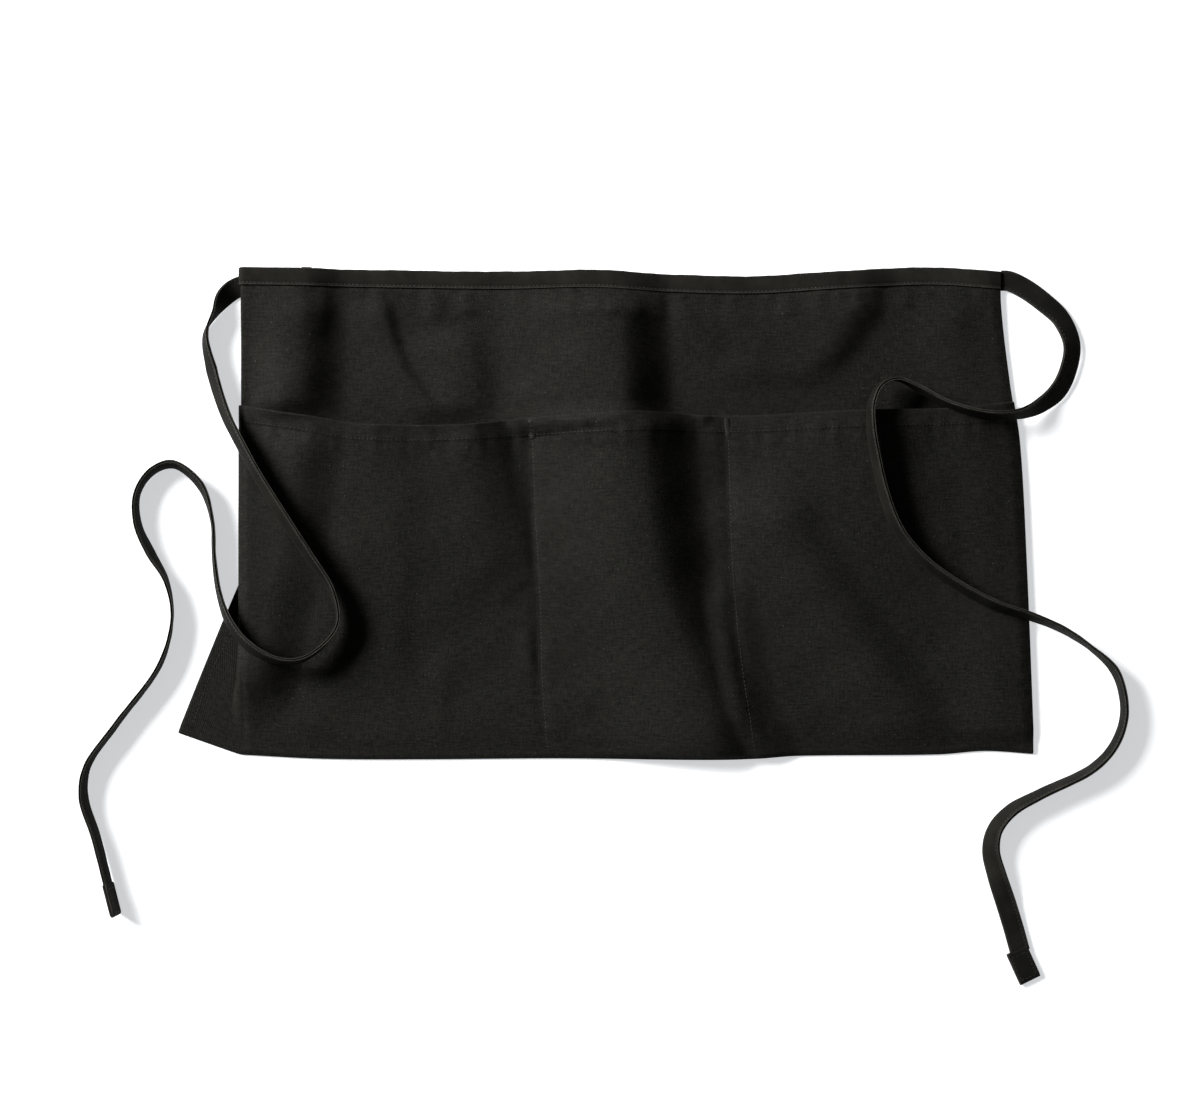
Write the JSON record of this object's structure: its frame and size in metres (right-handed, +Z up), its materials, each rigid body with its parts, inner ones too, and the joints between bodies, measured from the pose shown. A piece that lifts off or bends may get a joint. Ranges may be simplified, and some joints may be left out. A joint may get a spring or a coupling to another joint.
{
  "type": "waist apron",
  "caption": "Short black cloth waist apron with a row of front pockets, a narrow waistband and long tape ties, lying face up with one side strip turned under.",
  "frame": {"origin": "middle of the laid-out cloth, ties left out, on the surface it lies on", "axes": "+X along the waistband to the right hem, +Y from the bottom edge towards the waistband, +Z up through the cloth's front"},
  "size_m": [0.6506, 0.4459, 0.028],
  "materials": {
    "black_twill": "matt twill weave",
    "black_tape": "matt folded cloth tape with a sewn edge"
  },
  "bodies": {
    "root": {"body_panel": "black_twill", "pocket_panel": "black_twill", "waistband": "black_tape", "left_tie": "black_tape", "right_tie": "black_tape", "left_tie_end": "black_tape", "right_tie_end": "black_tape"}
  },
  "joints": []
}
